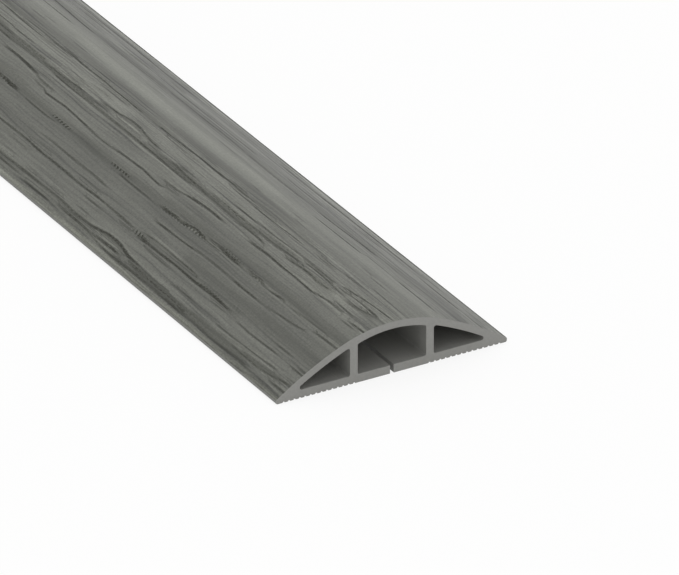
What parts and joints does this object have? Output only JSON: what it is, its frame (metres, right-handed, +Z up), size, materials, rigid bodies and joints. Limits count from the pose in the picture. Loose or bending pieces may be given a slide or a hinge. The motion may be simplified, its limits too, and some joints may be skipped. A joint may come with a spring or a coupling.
{
  "type": "floor cable cover",
  "caption": "Arched strip that lies on a floor over cables: an open cable channel between two webs, hollow side chambers, rounded edges, a slit and grip grooves in the flat base.",
  "frame": {"origin": "middle of the underside, on the floor, halfway along the strip", "axes": "+X across the strip, +Y along its length, +Z up from the floor to the crown"},
  "size_m": [0.06, 0.914, 0.013],
  "materials": {
    "grey_vinyl": "satin, embossed wood grain on the roof"
  },
  "bodies": {
    "root": {"cable_cover": "grey_vinyl"}
  },
  "joints": []
}
